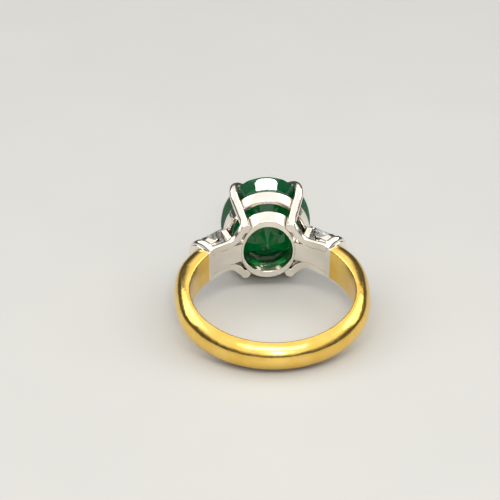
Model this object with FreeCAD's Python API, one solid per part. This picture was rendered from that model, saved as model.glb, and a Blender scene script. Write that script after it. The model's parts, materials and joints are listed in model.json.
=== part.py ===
import FreeCAD, Part

import math
import os

# Cocktail ring: a yellow gold shank carries a white metal head with four claws, an oval emerald
# in the middle and one tapered baguette in each shoulder. All sizes are in millimetres.
# The ring's axis is Z. The head points along -Y, and "height" is the distance from the axis
# towards the head. "across" runs along X, from one shoulder to the other.

BORE_R = 8.5  # finger bore, inner diameter 17

# Shank: a D section, flat inside and domed outside, which rises and widens into the shoulders
PALM_CREST_R = 10.1
SHOULDER_CREST_R = 11.05
RISE_START_DEG = 95.0
RISE_END_DEG = 47.0
PALM_WIDTH = 3.2
SHOULDER_WIDTH = 3.8
SIDE_WALL = 0.36  # straight side of the section, measured from the bore
INNER_ROUND = 0.2  # radius on the edge between the bore and the side
SECTION_COUNT = 17
BORING_STOCK = 0.3  # metal inside the bore radius before the ring is bored

# Scarf seam between the gold and each shoulder, as angles from the head at the bore and outside
SEAM_INNER_DEG = 49.0
SEAM_OUTER_DEG = 47.0
SEAM_OUTER_R = 11.2
SEAM_OVERRUN = (0.6, 3.0)  # how far the seam's cutter runs on inwards and outwards, in seam lengths
SHANK_OVERRUN_DEG = 8.0  # how far the shank is drawn past the seam before it is cut

# Shoulders
SHOULDER_HALF_WIDTHS = [(9.0, 1.88), (5.7, 1.88), (4.3, 1.35), (3.3, 1.12), (2.0, 1.12)]
SHOULDER_SEAT = [(5.5, 7.9), (5.07, 7.6), (4.2, 8.55), (3.6, 8.95), (3.0, 9.1)]
SHOULDER_ROOT = [(2.0, 9.1), (2.0, 6.0)]  # inside the base collet, which is cut out of it
OUTER_BAR = [(8.4, 8.28), (8.02, 8.88), (7.45, 9.0), (6.9, 8.75)]
BAR_FOOT_SHARE = 0.35  # where the bar leaves the shoulder, as a share of the seam
BAR_ARCH_R = 2.0  # radius of the outer bar's arch across the band
BAR_ARCH_CREST = (8.15, 8.62)
BAR_ARCH_DEG = 55.0  # slope of the arch's crest line
BAR_HALF_WIDTH = 1.95
RIM_DEG = 44.2  # place of the round rim on the bar's outer side, as an angle from the head
RIM_PATH = [  # radius, half width
    (11.45, 0.0),
    (11.3, 0.85),
    (10.82, 1.52),
    (10.15, 1.92),
    (9.45, 1.94),
    (8.88, 1.6),
]
RIM_WIRE_R = 0.5
RIM_STATIONS = 15
INNER_BAR = [(3.6, 8.95), (4.2, 8.55), (4.98, 10.7), (4.45, 10.85)]
INNER_BAR_HALF_WIDTH = 1.15

# Baguette: a tapered step cut with its table leaning outwards. Facets are given as steps of
# (share of the girdle's reach, height over the girdle's lower edge).
BAGUETTE_CENTRE = (5.81, 10.08)
BAGUETTE_LEAN_DEG = 42.0
BAGUETTE_LENGTH = 2.9
BAGUETTE_HALF_OUTER = 1.28
BAGUETTE_HALF_INNER = 1.08
BAGUETTE_CROWN_STEPS = [(1.0, 0.12), (0.78, 0.38)]
BAGUETTE_PAVILION_STEPS = [(1.0, 0.0), (0.66, -0.7), (0.05, -1.5)]

# Head: the base collet, the upper gallery rail and the claws, as (height, half across, half along)
COLLET_BOTTOM = (7.0, 2.45, 3.42)
COLLET_TOP = (9.85, 3.6, 4.12)
COLLET_HOLE = (2.5, 2.82)
COLLET_HOLE_OVERRUN = 1.0
COLLET_MOUTH = [(7.0, 2.86, 3.62), (9.0, 2.5, 2.82)]  # the bevel round the hole on the finger side
RAIL_BOTTOM = (10.5, 4.25, 5.0)
RAIL_WAIST = (11.2, 4.6, 5.32)
RAIL_CREST = (11.6, 4.72, 5.42)
RAIL_TOP = (12.4, 4.52, 5.18)
RAIL_WALL = 0.45
CLAW_PATH = [
    (2.3, 7.95, 2.95),
    (2.65, 9.6, 3.4),
    (3.35, 11.6, 4.4),
    (3.52, 12.9, 4.74),
    (3.14, 14.08, 4.48),
    (2.55, 14.62, 3.98),
]
CLAW_FOOT_PATH = [  # the claw's foot, which runs down to the edge of the shoulder
    (2.5, 8.9, 3.1),
    (3.02, 8.26, 2.45),
    (3.5, 8.05, 1.82),
    (4.23, 7.66, 1.48),
    (5.32, 7.0, 1.57),
    (6.2, 6.24, 1.62),
]
CLAW_FOOT_R = 0.46
CLAW_BASE_R = 0.53
CLAW_TIP_R = 0.4
CLAW_STATIONS = 9
CLAW_TAPER = 3  # how late the claw thins towards its tip
CLAW_TIP_DEGREES = [25, 50, 70, 84]  # circles that round the tip off

# Centre stone: an oval with a brilliant crown over a stepped pavilion. A tier of facets is its
# count, its turn as a share of one facet, and its steps of (share of the girdle, height).
STONE_HALF_ACROSS = 4.9
STONE_HALF_ALONG = 5.98
STONE_GIRDLE = 13.3  # height of the girdle's lower edge
STONE_GIRDLE_THICKNESS = 0.25
STONE_CROWN = 1.5
STONE_PAVILION = 4.1
CROWN_TIERS = [
    (8, 0.0, [(1.0, 0.0), (0.56, 1.0)]),
    (16, 0.5, [(1.0, 0.0), (0.66, 1.0)]),
    (8, 0.5, [(1.3, 0.0), (0.58, 1.0)]),
]
PAVILION_TIERS = [
    (12, 0.0, [(1.0, 0.0), (0.85, 0.174), (0.62, 0.418), (0.34, 0.706), (0.04, 1.0)]),
    (12, 0.5, [(1.015, 0.0), (0.86, 0.24)]),
]

ON_BORE = 0.01  # how near the bore's radius an edge counts as lying on the bore
LARGE = 40.0  # bigger than the ring in every direction


def point(across, height, along=0.0):
    """A point from its distance across, its height in the head and its place along the finger."""
    return FreeCAD.Vector(across, -height, along)


def polar(radius, angle_deg, along=0.0):
    """A point at an angle from the head, seen along the finger."""
    angle = math.radians(angle_deg)
    return point(radius * math.sin(angle), radius * math.cos(angle), along)


def prism(outline, half_width):
    """A side outline given as across and height, extruded both ways along the finger."""
    corners = [point(across, height, -half_width) for across, height in outline]
    face = Part.Face(Part.makePolygon(corners + corners[:1]))
    return face.extrude(FreeCAD.Vector(0, 0, 2 * half_width))


def without(shape, others):
    """The shape with the seats of its neighbours cut out of it."""
    for other in others:
        shape = shape.cut(other)
    return shape


def cylinder_along_finger(radius):
    return Part.makeCylinder(radius, 2 * LARGE, FreeCAD.Vector(0, 0, -LARGE), FreeCAD.Vector(0, 0, 1))


def mirrored(shape, across=True):
    """The same shape on the other shoulder, or on the other side of the band."""
    normal = FreeCAD.Vector(1, 0, 0) if across else FreeCAD.Vector(0, 0, 1)
    return shape.mirror(FreeCAD.Vector(0, 0, 0), normal)


def ease(start, end, value):
    """A smooth climb from 0 at start to 1 at end."""
    share = min(1.0, max(0.0, (value - start) / (end - start)))
    return share * share * (3 - 2 * share)


def band_width(angle_deg):
    """Width of the band, easing from the palm side to the shoulders."""
    return PALM_WIDTH + (SHOULDER_WIDTH - PALM_WIDTH) * ease(180, RISE_END_DEG, angle_deg)


def band_crest(angle_deg):
    """Radius of the dome's crest, rising from the sides of the finger to the shoulders."""
    return PALM_CREST_R + (SHOULDER_CREST_R - PALM_CREST_R) * ease(RISE_START_DEG, RISE_END_DEG, angle_deg)


def band_section(angle_deg):
    """The closed D section of the band at one angle, with boring stock inside."""
    from_head = min(angle_deg, 360 - angle_deg)
    half = band_width(from_head) / 2
    inner = BORE_R - BORING_STOCK
    side = BORE_R + SIDE_WALL
    foot_low = polar(inner, angle_deg, -half)
    foot_high = polar(inner, angle_deg, half)
    edge_low = polar(side, angle_deg, -half)
    edge_high = polar(side, angle_deg, half)
    lines = [(foot_low, foot_high), (foot_high, edge_high), (edge_low, foot_low)]
    floor, side_high, side_low = [Part.LineSegment(*ends).toShape() for ends in lines]
    dome = Part.Arc(edge_high, polar(band_crest(from_head), angle_deg), edge_low).toShape()
    return Part.Wire([floor, side_high, dome, side_low])


def head_wedge():
    """Everything on the head's side of the two scarf seams."""
    inner = polar(BORE_R, SEAM_INNER_DEG)
    outer = polar(SEAM_OUTER_R, SEAM_OUTER_DEG)
    step = outer - inner
    low = inner - step * SEAM_OVERRUN[0]
    high = outer + step * SEAM_OVERRUN[1]
    right = [(low.x, -low.y), (high.x, -high.y), (high.x, LARGE)]
    left = [(-across, height) for across, height in reversed(right)]
    return prism(right + left, LARGE)


def bore_rims(band):
    """The two long edges where the bore meets the sides of the band."""
    rims = []
    for edge in band.Edges:
        middle = edge.valueAt((edge.FirstParameter + edge.LastParameter) / 2)
        on_bore = abs(math.hypot(middle.x, middle.y) - BORE_R) < ON_BORE
        if on_bore and edge.Length > BORE_R:
            rims.append(edge)
    return rims


def make_shank():
    first = SEAM_OUTER_DEG - SHANK_OVERRUN_DEG
    step = (360 - 2 * first) / (SECTION_COUNT - 1)
    sections = [band_section(first + index * step) for index in range(SECTION_COUNT)]
    band = Part.makeLoft(sections, True, False).cut(cylinder_along_finger(BORE_R))
    band = band.makeFillet(INNER_ROUND, bore_rims(band))
    return band.cut(head_wedge())


def shoulder_envelope():
    """The shoulder's tapering width, as a solid seen along the head's height."""
    upper = [FreeCAD.Vector(across, 0, half) for across, half in SHOULDER_HALF_WIDTHS]
    lower = [FreeCAD.Vector(across, 0, -half) for across, half in reversed(SHOULDER_HALF_WIDTHS)]
    corners = upper + lower
    return Part.Face(Part.makePolygon(corners + corners[:1])).extrude(FreeCAD.Vector(0, -LARGE, 0))


def seam_point(share):
    """A point on the seam's side outline, from the bore (0) to the outside (1), as across and height."""
    inner = polar(BORE_R, SEAM_INNER_DEG)
    place = inner + (polar(SEAM_OUTER_R, SEAM_OUTER_DEG) - inner) * share
    return (place.x, -place.y)


def make_shoulder(collet_body):
    """The base of one shoulder, with a seat under the baguette."""
    outline = [seam_point(-0.5), seam_point(BAR_FOOT_SHARE)] + SHOULDER_SEAT + SHOULDER_ROOT
    body = prism(outline, LARGE).common(shoulder_envelope())
    return body.cut(cylinder_along_finger(BORE_R)).cut(collet_body)


def wire_solid(circles):
    """A solid round wire through circles, each given as centre, direction and radius."""
    sections = [Part.Wire([Part.Circle(*circle).toShape()]) for circle in circles]
    return Part.makeLoft(sections, True, False)


def smooth_line(stations):
    curve = Part.BSplineCurve()
    curve.interpolate(stations)
    return curve


def circles_along(curve, count, first_radius, last_radius, growth=1):
    """Circles at even steps along a curve, from the first radius to the last."""
    first, last = curve.FirstParameter, curve.LastParameter
    circles = []
    for index in range(count):
        share = index / (count - 1)
        where = first + (last - first) * share
        radius = first_radius + (last_radius - first_radius) * share ** growth
        circles.append((curve.value(where), curve.tangent(where)[0], radius))
    return circles


def make_bar_rim():
    """The round rim that drapes over the end of the band."""
    upper = [polar(radius, RIM_DEG, along) for radius, along in RIM_PATH]
    lower = [polar(radius, RIM_DEG, -along) for radius, along in RIM_PATH[1:]]
    stations = list(reversed(lower)) + upper
    return wire_solid(circles_along(smooth_line(stations), RIM_STATIONS, RIM_WIRE_R, RIM_WIRE_R))


def make_outer_bar():
    """A bar that caps the gold and arches across the band, with a round rim on its outer side."""
    slope = math.radians(BAR_ARCH_DEG)
    axis = point(-math.cos(slope), math.sin(slope))
    inwards = point(-math.sin(slope), -math.cos(slope))
    middle = point(*BAR_ARCH_CREST) + inwards * BAR_ARCH_R
    arch = Part.makeCylinder(BAR_ARCH_R, 2 * LARGE, middle - axis * LARGE, axis)
    outline = [seam_point(BAR_FOOT_SHARE), seam_point(1)] + OUTER_BAR + SHOULDER_SEAT[:1]
    return prism(outline, BAR_HALF_WIDTH).common(arch).fuse(make_bar_rim()).removeSplitter()


def make_inner_bar():
    return prism(INNER_BAR, INNER_BAR_HALF_WIDTH)


def cut_plane(solid, origin, outward):
    """The solid with everything beyond a plane removed."""
    slab = Part.makeBox(2 * LARGE, 2 * LARGE, LARGE, FreeCAD.Vector(-LARGE, -LARGE, 0))
    turn = FreeCAD.Rotation(FreeCAD.Vector(0, 0, 1), outward)
    slab.Placement = FreeCAD.Placement(origin, turn)
    return solid.cut(slab)


def cut_steps(gem, gradient, steps):
    """Cuts facets one above the other on a gem that lies flat with its table up.

    The gradient is the share of the girdle's reach gained per millimetre outwards.
    """
    for (low_share, low_height), (high_share, high_height) in zip(steps, steps[1:]):
        foot = gradient * (low_share / gradient.dot(gradient))
        foot.z = low_height
        lean = (low_share - high_share) / (high_height - low_height)
        gem = cut_plane(gem, foot, FreeCAD.Vector(gradient.x, gradient.y, lean))
    return gem


def stood(gem, centre, lean_deg):
    """A flat gem stood up with its table towards the head's front, then leaned outwards."""
    upright = FreeCAD.Rotation(FreeCAD.Vector(1, 0, 0), 90)
    lean = FreeCAD.Rotation(FreeCAD.Vector(0, 0, 1), lean_deg)
    gem.Placement = FreeCAD.Placement(point(*centre), lean * upright)
    return gem


def oval_wire(half_across, half_along, height):
    ellipse = Part.Ellipse(point(0, height, half_along), point(half_across, height), point(0, height))
    return Part.Wire([ellipse.toShape()])


def oval_solid(levels):
    """A solid through oval levels, each given as height, half across and half along."""
    wires = [oval_wire(half_across, half_along, height) for height, half_across, half_along in levels]
    return Part.makeLoft(wires, True, True)


def make_centre_stone():
    top = STONE_GIRDLE_THICKNESS + STONE_CROWN
    along = FreeCAD.Vector(0, STONE_HALF_ALONG, 0)
    across = FreeCAD.Vector(STONE_HALF_ACROSS, 0, 0)
    outline = Part.Ellipse(along, across, FreeCAD.Vector(0, 0, 0))
    face = Part.Face(Part.Wire([outline.toShape()]))
    face.translate(FreeCAD.Vector(0, 0, -STONE_PAVILION))
    gem = face.extrude(FreeCAD.Vector(0, 0, STONE_PAVILION + top))
    parts = [(CROWN_TIERS, STONE_GIRDLE_THICKNESS, STONE_CROWN), (PAVILION_TIERS, 0, -STONE_PAVILION)]
    for tiers, base, rise in parts:
        for count, turn, shares in tiers:
            steps = [(share, base + rise * height) for share, height in shares]
            for index in range(count):
                angle = 2 * math.pi * (index + turn) / count
                gradient = FreeCAD.Vector(
                    math.cos(angle) / STONE_HALF_ACROSS, math.sin(angle) / STONE_HALF_ALONG, 0
                )
                gem = cut_steps(gem, gradient, steps)
    return stood(gem, (0, STONE_GIRDLE), 0)


def make_baguette():
    half = BAGUETTE_LENGTH / 2
    low = BAGUETTE_PAVILION_STEPS[-1][1]
    high = BAGUETTE_CROWN_STEPS[-1][1]
    corners = [
        FreeCAD.Vector(-half, -BAGUETTE_HALF_INNER, low),
        FreeCAD.Vector(half, -BAGUETTE_HALF_OUTER, low),
        FreeCAD.Vector(half, BAGUETTE_HALF_OUTER, low),
        FreeCAD.Vector(-half, BAGUETTE_HALF_INNER, low),
    ]
    gem = Part.Face(Part.makePolygon(corners + corners[:1])).extrude(FreeCAD.Vector(0, 0, high - low))
    for corner, following in zip(corners, corners[1:] + corners[:1]):
        outward = FreeCAD.Vector(following.y - corner.y, corner.x - following.x, 0).normalize()
        gradient = outward / corner.dot(outward)
        gem = cut_steps(gem, gradient, BAGUETTE_CROWN_STEPS)
        gem = cut_steps(gem, gradient, BAGUETTE_PAVILION_STEPS)
    return stood(gem, BAGUETTE_CENTRE, BAGUETTE_LEAN_DEG)


def make_collet_body():
    return oval_solid([COLLET_BOTTOM, COLLET_TOP])


def make_collet(body):
    half_across, half_along = COLLET_HOLE
    low = COLLET_BOTTOM[0] - COLLET_HOLE_OVERRUN
    high = COLLET_TOP[0] + COLLET_HOLE_OVERRUN
    hole = oval_solid([(low, half_across, half_along), (high, half_across, half_along)])
    return body.cut(hole).cut(oval_solid(COLLET_MOUTH)).cut(cylinder_along_finger(BORE_R))


def make_upper_rail():
    wall = (0, RAIL_WALL, RAIL_WALL)
    outer_levels = [RAIL_BOTTOM, RAIL_WAIST, RAIL_CREST, RAIL_TOP]
    inner_levels = [tuple(size - less for size, less in zip(level, wall)) for level in outer_levels]
    return oval_solid(outer_levels).cut(oval_solid(inner_levels))


def make_claw():
    """The upper right claw: a tapering round wire with a rounded tip and a foot along the shoulder."""
    upright = smooth_line([point(*station) for station in CLAW_PATH])
    circles = circles_along(upright, CLAW_STATIONS, CLAW_BASE_R, CLAW_TIP_R, CLAW_TAPER)
    tip, forward, radius = circles[-1]
    for angle_deg in CLAW_TIP_DEGREES:
        angle = math.radians(angle_deg)
        circles.append((tip + forward * radius * math.sin(angle), forward, radius * math.cos(angle)))
    foot_line = smooth_line([point(*station) for station in CLAW_FOOT_PATH])
    foot = wire_solid(circles_along(foot_line, CLAW_STATIONS, CLAW_FOOT_R, CLAW_FOOT_R))
    return wire_solid(circles).fuse(foot)


def make_ring():
    stone = make_centre_stone()
    collet_body = make_collet_body()
    rail = make_upper_rail()
    claw = without(make_claw(), [cylinder_along_finger(BORE_R), stone, collet_body, rail])
    claws = {
        "upper_right_claw": claw,
        "upper_left_claw": mirrored(claw),
        "lower_right_claw": mirrored(claw, across=False),
        "lower_left_claw": mirrored(mirrored(claw), across=False),
    }
    baguette = make_baguette()
    shank = make_shank()
    outer_bar = without(make_outer_bar(), [baguette, cylinder_along_finger(BORE_R), shank])
    sides = {
        "shoulder": without(make_shoulder(collet_body), [outer_bar] + list(claws.values())),
        "outer_bar": outer_bar,
        "inner_bar": make_inner_bar().cut(baguette).cut(collet_body),
        "baguette": baguette,
    }
    ring = {
        "shank": shank,
        "base_collet": make_collet(collet_body),
        "upper_gallery_rail": rail.cut(stone),
        "centre_stone": stone,
    }
    ring.update(claws)
    for name, shape in sides.items():
        ring["right_" + name] = shape
        ring["left_" + name] = mirrored(shape)
    return ring


def main():
    os.makedirs("parts", exist_ok=True)
    for name, shape in make_ring().items():
        solids = shape.Solids
        print(name, "solids", len(solids), "valid", shape.isValid(), "volume", round(shape.Volume, 3))
        shape.exportStep("parts/" + name + ".step")


main()
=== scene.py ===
import json
import math

import bpy
from mathutils import Matrix, Vector


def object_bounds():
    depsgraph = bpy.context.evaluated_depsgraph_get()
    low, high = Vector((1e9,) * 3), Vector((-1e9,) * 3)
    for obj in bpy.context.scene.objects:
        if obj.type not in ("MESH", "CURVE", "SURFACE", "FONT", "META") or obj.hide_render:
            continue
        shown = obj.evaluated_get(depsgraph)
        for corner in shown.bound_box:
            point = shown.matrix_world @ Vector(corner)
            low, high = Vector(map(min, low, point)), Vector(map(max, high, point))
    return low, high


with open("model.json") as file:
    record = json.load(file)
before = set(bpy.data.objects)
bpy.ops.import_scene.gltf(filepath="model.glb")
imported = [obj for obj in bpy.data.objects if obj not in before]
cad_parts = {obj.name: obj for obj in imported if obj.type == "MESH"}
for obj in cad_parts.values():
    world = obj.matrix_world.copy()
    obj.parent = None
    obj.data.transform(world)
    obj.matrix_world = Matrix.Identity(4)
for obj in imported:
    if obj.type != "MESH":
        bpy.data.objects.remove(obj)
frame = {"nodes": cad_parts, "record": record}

cad_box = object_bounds()
nodes = frame["nodes"]

MM = 0.001

# Finishing of the parts
WELD_WITHIN = 0.0005 * MM
CAST_VOXEL = 0.04 * MM
BUFF_PASSES = 8
CURVED_BELOW_DEG = 24
FACETED_BELOW_DEG = 3
BUFFING_LENGTH_PER_RADIAN = 10 * MM

# Noise scales, per metre
BUFFING_LINES = 9000
GRAIN = 5200
DENTS = 1500
HAND_WAVES = 620
METAL_CLOUD = 420
STONE_CLOUD = 260
STONE_WISPS = 1500
CLEAR_HAZE = 2400
FLOOR_MOTTLE = 60

# Colours, as linear red, green and blue
GOLD = (0.95, 0.66, 0.18)
GOLD_DEEP = (0.86, 0.53, 0.10)
# Painted shade: the dark gold laid into corners and crevices
GOLD_CORNER_SHADE = (0.30, 0.18, 0.03)
WHITE = (0.90, 0.86, 0.79)
WHITE_DEEP = (0.80, 0.75, 0.67)
# Painted shade: the dark white metal laid into corners and crevices
WHITE_CORNER_SHADE = (0.12, 0.10, 0.08)
EMERALD = (0.0, 0.26, 0.075)
EMERALD_PATCHES = (0.003, 0.38, 0.14)
EMERALD_WISPS = (0.02, 0.46, 0.20)
EMERALD_SHADED = (0.0, 0.17, 0.055)
EMERALD_INSIDE = (0.02, 0.62, 0.26)
DIAMOND = (0.50, 0.54, 0.56)
DIAMOND_HAZY = (0.41, 0.45, 0.47)
FLOOR_TONE = (0.50, 0.50, 0.488)
FLOOR_TONE_LIGHTER = (0.53, 0.53, 0.518)
BACKDROP = (0.66, 0.655, 0.635)
WARM = (1.0, 0.98, 0.94)
ROOM_DIM = (0.07, 0.07, 0.067)
ROOM_BRIGHT = (1.2, 1.18, 1.14)

# Stones
EMERALD_IOR = 1.58
EMERALD_DENSITY = 360.0
DIAMOND_IOR = 2.42

# Stage: heights in degrees above the horizon where the room is dim and bright
DIM_BELOW_DEG = 20
BRIGHT_ABOVE_DEG = 35
FLOOR_HALF = 1.5
FLOOR_GAP = 0.01 * MM

# Name, azimuth, elevation, distance, width, height and power of each softbox
SOFTBOXES = [
    ("key_softbox", 184.0, 43.0, 0.493, 0.075, 0.055, 0.52),
    ("top_softbox", 180, 70, 0.50, 0.36, 0.16, 0.85),
    ("left_softbox", 58, 30, 0.50, 0.34, 0.28, 0.60),
    ("right_softbox", 296, 30, 0.50, 0.34, 0.28, 0.60),
]


# ---------------------------------------------------------------- node helpers
def start_material(name):
    """A new node material: its tree, its surface shader and its object coordinates."""
    material = bpy.data.materials.new(name)
    material.use_nodes = True
    tree = material.node_tree
    shader = tree.nodes["Principled BSDF"]
    place = tree.nodes.new("ShaderNodeTexCoord").outputs["Object"]
    return material, tree, shader, place


def stretched(tree, vector, scale):
    mapping = tree.nodes.new("ShaderNodeMapping")
    mapping.inputs["Scale"].default_value = scale
    tree.links.new(vector, mapping.inputs["Vector"])
    return mapping.outputs["Vector"]


def noise(tree, vector, scale, detail=3.0, roughness=0.55):
    texture = tree.nodes.new("ShaderNodeTexNoise")
    texture.inputs["Scale"].default_value = scale
    texture.inputs["Detail"].default_value = detail
    texture.inputs["Roughness"].default_value = roughness
    tree.links.new(vector, texture.inputs["Vector"])
    return texture.outputs["Fac"]


def spread(tree, value, low, high, to_low=0.0, to_high=1.0):
    """value from low..high to to_low..to_high, held at both ends."""
    node = tree.nodes.new("ShaderNodeMapRange")
    node.inputs["From Min"].default_value = low
    node.inputs["From Max"].default_value = high
    node.inputs["To Min"].default_value = to_low
    node.inputs["To Max"].default_value = to_high
    tree.links.new(value, node.inputs["Value"])
    return node.outputs["Result"]


def maths(tree, operation, first, second):
    node = tree.nodes.new("ShaderNodeMath")
    node.operation = operation
    for socket, value in zip(node.inputs, (first, second)):
        if isinstance(value, (int, float)):
            socket.default_value = value
        else:
            tree.links.new(value, socket)
    return node.outputs["Value"]


def blend_colours(tree, share, first, second):
    """first where share is 0 and second where it is 1; each a colour or a socket."""
    node = tree.nodes.new("ShaderNodeMix")
    node.data_type = "RGBA"
    tree.links.new(share, node.inputs["Factor"])
    for socket, value in ((node.inputs[6], first), (node.inputs[7], second)):
        if isinstance(value, tuple):
            socket.default_value = (*value, 1.0)
        else:
            tree.links.new(value, socket)
    return node.outputs[2]


def bump(tree, height, strength, distance, normal=None):
    node = tree.nodes.new("ShaderNodeBump")
    node.inputs["Strength"].default_value = strength
    node.inputs["Distance"].default_value = distance
    tree.links.new(height, node.inputs["Height"])
    if normal is not None:
        tree.links.new(normal, node.inputs["Normal"])
    return node.outputs["Normal"]


def edge_mask(tree, radius):
    """1 along an outside or inside edge, 0 on open surface."""
    bevel = tree.nodes.new("ShaderNodeBevel")
    bevel.samples = 6
    bevel.inputs["Radius"].default_value = radius
    geometry = tree.nodes.new("ShaderNodeNewGeometry")
    dot = tree.nodes.new("ShaderNodeVectorMath")
    dot.operation = "DOT_PRODUCT"
    tree.links.new(bevel.outputs["Normal"], dot.inputs[0])
    tree.links.new(geometry.outputs["Normal"], dot.inputs[1])
    return spread(tree, dot.outputs["Value"], 0.995, 0.8)


def corner_shade_mask(tree, distance):
    """1 deep in a corner, where shade falls, 0 on open surface; the materials paint shade into
    their colour with it.
    """
    node = tree.nodes.new("ShaderNodeAmbientOcclusion")
    node.samples = 8
    node.inputs["Distance"].default_value = distance
    return spread(tree, node.outputs["AO"], 0.75, 0.25)


# ---------------------------------------------------------------- materials
def around_finger(tree, place):
    """Coordinates whose lines run round the ring: turns, radius and height, in metres."""
    parts = tree.nodes.new("ShaderNodeSeparateXYZ")
    tree.links.new(place, parts.inputs["Vector"])
    angle = maths(tree, "ARCTAN2", parts.outputs["X"], parts.outputs["Y"])
    square_x = maths(tree, "MULTIPLY", parts.outputs["X"], parts.outputs["X"])
    square_y = maths(tree, "MULTIPLY", parts.outputs["Y"], parts.outputs["Y"])
    radius = maths(tree, "SQRT", maths(tree, "ADD", square_x, square_y), 0.0)
    joined = tree.nodes.new("ShaderNodeCombineXYZ")
    tree.links.new(maths(tree, "MULTIPLY", angle, BUFFING_LENGTH_PER_RADIAN), joined.inputs["X"])
    tree.links.new(radius, joined.inputs["Y"])
    tree.links.new(parts.outputs["Z"], joined.inputs["Z"])
    return joined.outputs["Vector"]


def polished_metal(name, colour, deep, corner_shade_colour, smooth, rough, along):
    """Cast and buffed metal with buffing lines, small dents, worn edges and painted shade in
    corners.
    """
    material, tree, shader, place = start_material(name)
    lines_at = along(tree, place)
    lines = noise(tree, stretched(tree, lines_at, (0.07, 1.0, 1.0)), BUFFING_LINES, 4.0, 0.6)
    cloud = noise(tree, place, METAL_CLOUD, 3.0, 0.5)
    grain = noise(tree, place, GRAIN, 3.0, 0.65)
    waves = noise(tree, place, HAND_WAVES, 2.0, 0.45)
    dents = spread(tree, noise(tree, place, DENTS, 2.0, 0.5), 0.66, 0.8)
    edges = edge_mask(tree, 0.12 * MM)
    corners = corner_shade_mask(tree, 0.9 * MM)

    tone = blend_colours(tree, spread(tree, cloud, 0.35, 0.7), colour, deep)
    # Painted shade: the colour darkens towards the third tone in corners and crevices, where shade
    # falls
    tone = blend_colours(tree, maths(tree, "MULTIPLY", corners, 0.7), tone, corner_shade_colour)
    tree.links.new(tone, shader.inputs["Base Color"])

    shine = spread(tree, lines, 0.35, 0.75, smooth, rough)
    shine = maths(tree, "ADD", shine, maths(tree, "MULTIPLY", spread(tree, cloud, 0.3, 0.8), 0.06))
    shine = maths(tree, "ADD", shine, maths(tree, "MULTIPLY", corners, 0.12))
    shine = maths(tree, "ADD", shine, maths(tree, "MULTIPLY", edges, 0.05))
    tree.links.new(shine, shader.inputs["Roughness"])

    relief = bump(tree, waves, 0.5, 0.10 * MM)
    relief = bump(tree, lines, 0.12, 0.012 * MM, relief)
    relief = bump(tree, grain, 0.10, 0.012 * MM, relief)
    relief = bump(tree, dents, 0.25, 0.02 * MM, relief)
    tree.links.new(relief, shader.inputs["Normal"])
    shader.inputs["Metallic"].default_value = 1.0
    return material


def same_place(tree, place):
    return place


def emerald():
    """Deep green stone with cloudy patches, fine inclusions, painted shade where the setting
    encloses it, and a polish that isn't quite even.
    """
    material, tree, shader, place = start_material("emerald")
    cloud = noise(tree, stretched(tree, place, (1.0, 0.6, 1.3)), STONE_CLOUD, 3.0, 0.55)
    wisps = noise(tree, stretched(tree, place, (0.5, 1.6, 1.0)), STONE_WISPS, 4.0, 0.65)
    tone = blend_colours(tree, spread(tree, cloud, 0.35, 0.7), EMERALD, EMERALD_PATCHES)
    tone = blend_colours(tree, spread(tree, wisps, 0.62, 0.78), tone, EMERALD_WISPS)
    # Painted shade: the green darkens where the setting encloses the stone
    tone = blend_colours(tree, corner_shade_mask(tree, 3.0 * MM), tone, EMERALD_SHADED)
    tree.links.new(tone, shader.inputs["Base Color"])
    tree.links.new(spread(tree, wisps, 0.4, 0.8, 0.01, 0.10), shader.inputs["Roughness"])
    tree.links.new(bump(tree, wisps, 0.04, 0.01 * MM), shader.inputs["Normal"])
    shader.inputs["IOR"].default_value = EMERALD_IOR
    shader.inputs["Specular IOR Level"].default_value = 0.25
    shader.inputs["Transmission Weight"].default_value = 0.80
    inside = tree.nodes.new("ShaderNodeVolumeAbsorption")
    inside.inputs["Color"].default_value = (*EMERALD_INSIDE, 1.0)
    inside.inputs["Density"].default_value = EMERALD_DENSITY
    tree.links.new(inside.outputs["Volume"], tree.nodes["Material Output"].inputs["Volume"])
    return material


def diamond():
    """Clear stone, cut and polished, with a faint haze along its facet edges."""
    material, tree, shader, place = start_material("diamond")
    haze = noise(tree, place, CLEAR_HAZE, 3.0, 0.6)
    edges = edge_mask(tree, 0.04 * MM)
    tone = blend_colours(tree, spread(tree, haze, 0.4, 0.8), DIAMOND, DIAMOND_HAZY)
    tree.links.new(tone, shader.inputs["Base Color"])
    haze_blur = spread(tree, haze, 0.5, 0.8, 0.0, 0.03)
    edge_blur = maths(tree, "MULTIPLY", edges, 0.08)
    tree.links.new(maths(tree, "ADD", haze_blur, edge_blur), shader.inputs["Roughness"])
    shader.inputs["IOR"].default_value = DIAMOND_IOR
    shader.inputs["Transmission Weight"].default_value = 1.0
    return material


# ---------------------------------------------------------------- finishing of the parts
def welded(node):
    weld = node.modifiers.new("weld", "WELD")
    weld.merge_threshold = WELD_WITHIN


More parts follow.
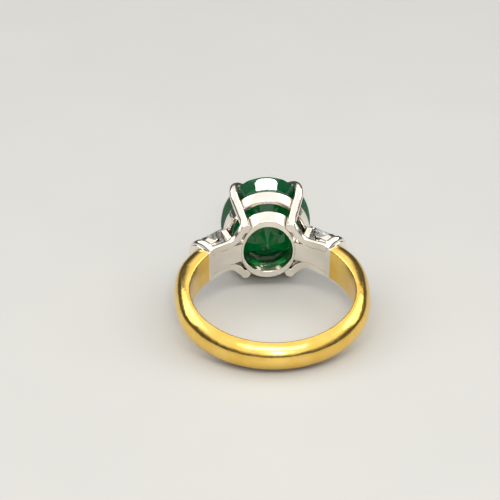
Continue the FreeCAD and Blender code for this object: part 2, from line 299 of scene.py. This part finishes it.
def smooth_group(degrees):
    """A node group that shades smoothly over edges flatter than degrees."""
    group = bpy.data.node_groups.new(f"smooth_{degrees}", "GeometryNodeTree")
    group.interface.new_socket("Geometry", in_out="INPUT", socket_type="NodeSocketGeometry")
    group.interface.new_socket("Geometry", in_out="OUTPUT", socket_type="NodeSocketGeometry")
    start = group.nodes.new("NodeGroupInput")
    end = group.nodes.new("NodeGroupOutput")
    angle = group.nodes.new("GeometryNodeInputMeshEdgeAngle")
    sharp = group.nodes.new("FunctionNodeCompare")
    sharp.operation = "LESS_EQUAL"
    sharp.inputs["B"].default_value = math.radians(degrees)
    faces = group.nodes.new("GeometryNodeSetShadeSmooth")
    faces.domain = "FACE"
    edges = group.nodes.new("GeometryNodeSetShadeSmooth")
    edges.domain = "EDGE"
    group.links.new(angle.outputs["Unsigned Angle"], sharp.inputs["A"])
    group.links.new(start.outputs[0], faces.inputs["Geometry"])
    group.links.new(faces.outputs["Geometry"], edges.inputs["Geometry"])
    group.links.new(sharp.outputs["Result"], edges.inputs["Shade Smooth"])
    group.links.new(edges.outputs["Geometry"], end.inputs[0])
    return group


def shade(node, group):
    node.modifiers.new("smooth shading", "NODES").node_group = group


def cast(node, voxel, passes):
    """Rounds every edge as casting and buffing do."""
    welded(node)
    remesh = node.modifiers.new("cast", "REMESH")
    remesh.mode = "VOXEL"
    remesh.voxel_size = voxel
    remesh.use_smooth_shade = True
    buff = node.modifiers.new("buff", "SMOOTH")
    buff.factor = 0.5
    buff.iterations = passes


def coat(node, material):
    node.data.materials.clear()
    node.data.materials.append(material)
    for face in node.data.polygons:
        face.material_index = 0


gold = polished_metal("yellow_gold", GOLD, GOLD_DEEP, GOLD_CORNER_SHADE, 0.12, 0.24, around_finger)
white = polished_metal("white_metal", WHITE, WHITE_DEEP, WHITE_CORNER_SHADE, 0.06, 0.18, same_place)
green = emerald()
clear = diamond()

finish_of = {part["node"]: part["material_slot"] for part in frame["record"]["subparts"]}
material_of = {
    "yellow_gold": gold,
    "white_metal": white,
    "green_stone": green,
    "clear_stone": clear,
}
curved = smooth_group(CURVED_BELOW_DEG)
flat_cut = smooth_group(FACETED_BELOW_DEG)
for name, node in nodes.items():
    coat(node, material_of[finish_of[name]])
    if finish_of[name] == "white_metal":
        cast(node, CAST_VOXEL, BUFF_PASSES)
    else:
        welded(node)
        shade(node, curved if name == "shank" else flat_cut)


# ---------------------------------------------------------------- floor
def resting_edge():
    """The two points (y, z) that the ring stands on, at the bottom of its outline from the side."""
    points = sorted({(v.co.y, v.co.z) for node in nodes.values() for v in node.data.vertices})
    hull = []
    for p in points:
        while len(hull) > 1:
            (ay, az), (by, bz) = hull[-2:]
            if (by - ay) * (p[1] - az) - (bz - az) * (p[0] - ay) > 0:
                break
            hull.pop()
        hull.append(p)
    middle = sum(cad_box, Vector()).y / 2
    for near, far in zip(hull, hull[1:]):
        if near[0] <= middle <= far[0]:
            return near, far
    return hull[0], hull[-1]


def floor_material():
    """A plain pale surface, faintly mottled, the same for every ray, and clear from below."""
    material, tree, shader, place = start_material("pale_floor")
    mottle = noise(tree, place, FLOOR_MOTTLE, 3.0, 0.5)
    tone = blend_colours(tree, mottle, FLOOR_TONE, FLOOR_TONE_LIGHTER)
    tree.links.new(tone, shader.inputs["Base Color"])
    shader.inputs["Roughness"].default_value = 0.45
    shader.inputs["Specular IOR Level"].default_value = 0.3
    geometry = tree.nodes.new("ShaderNodeNewGeometry")
    clear_below = tree.nodes.new("ShaderNodeBsdfTransparent")
    choose = tree.nodes.new("ShaderNodeMixShader")
    tree.links.new(geometry.outputs["Backfacing"], choose.inputs["Fac"])
    tree.links.new(shader.outputs["BSDF"], choose.inputs[1])
    tree.links.new(clear_below.outputs["BSDF"], choose.inputs[2])
    tree.links.new(choose.outputs["Shader"], tree.nodes["Material Output"].inputs["Surface"])
    return material


def make_floor():
    """A large pale plane, tilted to touch the ring where it would stand on it."""
    (near_y, near_z), (far_y, far_z) = resting_edge()
    slope = (far_z - near_z) / (far_y - near_y)
    corners = []
    for turn_x, turn_y in ((-1, -1), (1, -1), (1, 1), (-1, 1)):
        x, y = turn_x * FLOOR_HALF, turn_y * FLOOR_HALF
        corners.append((x, y, near_z + slope * (y - near_y) - FLOOR_GAP))
    mesh = bpy.data.meshes.new("floor")
    mesh.from_pydata(corners, [], [(0, 1, 2, 3)])
    mesh.materials.append(floor_material())
    floor = bpy.data.objects.new("floor", mesh)
    bpy.context.scene.collection.objects.link(floor)


make_floor()


# ---------------------------------------------------------------- light
def direction(azimuth, elevation):
    """Unit vector towards azimuth (0 at -Y, 90 at +X) and elevation, in degrees."""
    a, e = math.radians(azimuth), math.radians(elevation)
    return Vector((math.sin(a) * math.cos(e), -math.cos(a) * math.cos(e), math.sin(e)))


def softbox(name, azimuth, elevation, distance, width, height, power):
    lamp = bpy.data.lights.new(name, "AREA")
    lamp.shape = "RECTANGLE"
    lamp.size = width
    lamp.size_y = height
    lamp.energy = power
    lamp.color = WARM
    box = bpy.data.objects.new(name, lamp)
    box.location = direction(azimuth, elevation) * distance
    box.rotation_mode = "QUATERNION"
    box.rotation_quaternion = direction(azimuth, elevation).to_track_quat("Z", "Y")
    bpy.context.scene.collection.objects.link(box)


for setting in SOFTBOXES:
    softbox(*setting)


def make_world():
    """A dim room under a bright ceiling, which lights the ring and shows in its reflections.

    The camera sees an even pale backdrop in its place.
    """
    world = bpy.data.worlds.new("studio")
    world.use_nodes = True
    tree = world.node_tree
    seen = tree.nodes["Background"]
    seen.inputs["Color"].default_value = (*BACKDROP, 1.0)
    room = tree.nodes.new("ShaderNodeBackground")
    direction_out = tree.nodes.new("ShaderNodeTexCoord").outputs["Generated"]
    parts = tree.nodes.new("ShaderNodeSeparateXYZ")
    tree.links.new(direction_out, parts.inputs["Vector"])
    dim_below = math.sin(math.radians(DIM_BELOW_DEG))
    bright_above = math.sin(math.radians(BRIGHT_ABOVE_DEG))
    height = spread(tree, parts.outputs["Z"], dim_below, bright_above)
    sky = blend_colours(tree, height, ROOM_DIM, ROOM_BRIGHT)
    tree.links.new(sky, room.inputs["Color"])
    path = tree.nodes.new("ShaderNodeLightPath")
    choose = tree.nodes.new("ShaderNodeMixShader")
    tree.links.new(path.outputs["Is Camera Ray"], choose.inputs["Fac"])
    tree.links.new(room.outputs["Background"], choose.inputs[1])
    tree.links.new(seen.outputs["Background"], choose.inputs[2])
    tree.links.new(choose.outputs["Shader"], tree.nodes["World Output"].inputs["Surface"])
    bpy.context.scene.world = world


make_world()


# ---------------------------------------------------------------- camera
CAMERA_AZIMUTH = 176.05
CAMERA_ELEVATION = 39.23
CAMERA_DISTANCE = 165.43 * MM
CAMERA_ROLL = -0.83
LENS = 115.2
AIM_LEFT = 0.813
AIM_UP = 1.776


def make_camera():
    """A long lens from above the palm side, aimed just above and left of the finger hole."""
    azimuth = math.radians(CAMERA_AZIMUTH)
    back = direction(CAMERA_AZIMUTH, CAMERA_ELEVATION)
    right = Vector((math.cos(azimuth), math.sin(azimuth), 0.0))
    basis = Matrix((right, back.cross(right), back)).transposed()
    roll = Matrix.Rotation(math.radians(-CAMERA_ROLL), 3, "Z")
    toward = Vector((math.tan(math.radians(AIM_LEFT)), -math.tan(math.radians(AIM_UP)), -1.0))
    aim = Vector((0.0, 0.0, -1.0)).rotation_difference(toward).to_matrix()
    data = bpy.data.cameras.new("camera")
    data.lens = LENS
    data.sensor_width = 36.0
    data.clip_start = 0.01
    data.clip_end = 10.0
    camera = bpy.data.objects.new("camera", data)
    turn = basis @ roll @ aim.transposed()
    camera.matrix_world = Matrix.Translation(back * CAMERA_DISTANCE) @ turn.to_4x4()
    bpy.context.scene.collection.objects.link(camera)
    bpy.context.scene.camera = camera


make_camera()
bpy.context.scene.view_settings.view_transform = "Standard"
bpy.context.view_layer.update()
